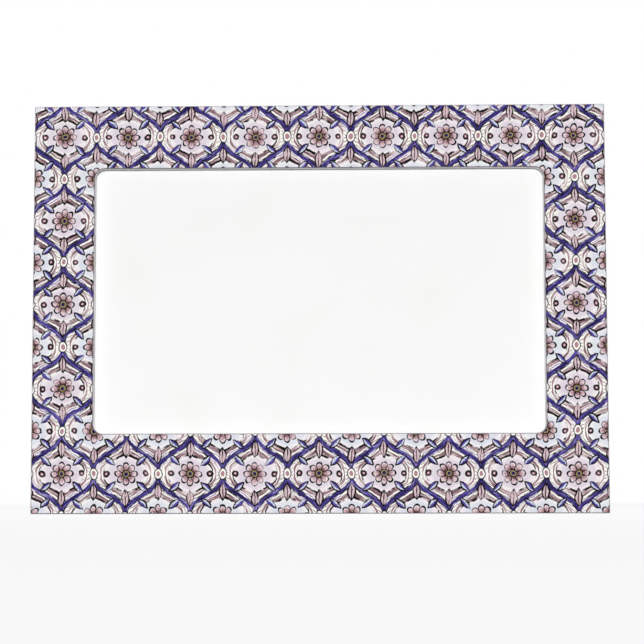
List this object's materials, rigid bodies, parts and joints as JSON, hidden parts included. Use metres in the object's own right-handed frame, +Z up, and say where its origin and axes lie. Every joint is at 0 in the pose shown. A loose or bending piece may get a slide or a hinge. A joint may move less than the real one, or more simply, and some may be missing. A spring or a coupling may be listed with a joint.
{
  "type": "magnetic photo frame",
  "caption": "Flat landscape photo frame with a patterned printed border round a window, a top-loading photo pocket with a thumb notch, and flexible magnet strips on its back.",
  "frame": {"origin": "the middle of the frame's outline, in the plane where the rear faces of the magnet strips meet the steel", "axes": "+X to the right and +Z upwards as the frame is looked at from the front; +Y backwards into the steel, so the printed front faces -Y"},
  "size_m": [0.1778, 0.0065, 0.127],
  "materials": {
    "printed_film": "satin",
    "frame_sheet": "satin",
    "cover_sheet": "gloss",
    "back_sheet": "matte",
    "spacer_sheet": "matte",
    "bonding_tape": "matte",
    "magnet_rubber": "matte",
    "photo_paper": "satin"
  },
  "bodies": {
    "frame": {"back_panel": "back_sheet", "clear_cover": "cover_sheet", "front_frame": "frame_sheet", "magnet_bottom": "magnet_rubber", "magnet_bottom_tape": "bonding_tape", "magnet_middle": "magnet_rubber", "magnet_middle_tape": "bonding_tape", "magnet_top_left": "magnet_rubber", "magnet_top_left_tape": "bonding_tape", "magnet_top_right": "magnet_rubber", "magnet_top_right_tape": "bonding_tape", "printed_face": "printed_film", "spacer_bottom": "spacer_sheet", "spacer_bottom_front_tape": "bonding_tape", "spacer_bottom_rear_tape": "bonding_tape", "spacer_left": "spacer_sheet", "spacer_left_front_tape": "bonding_tape", "spacer_left_rear_tape": "bonding_tape", "spacer_right": "spacer_sheet", "spacer_right_front_tape": "bonding_tape", "spacer_right_rear_tape": "bonding_tape", "window_tape_bottom": "bonding_tape", "window_tape_left": "bonding_tape", "window_tape_right": "bonding_tape", "window_tape_top": "bonding_tape"},
    "photo": {"photo_card": "photo_paper"}
  },
  "joints": [
    {"name": "photo_slide", "type": "slide", "parent": "frame", "child": "photo", "axis": [0, 0, 1], "range_m": [0, 0.115]}
  ]
}
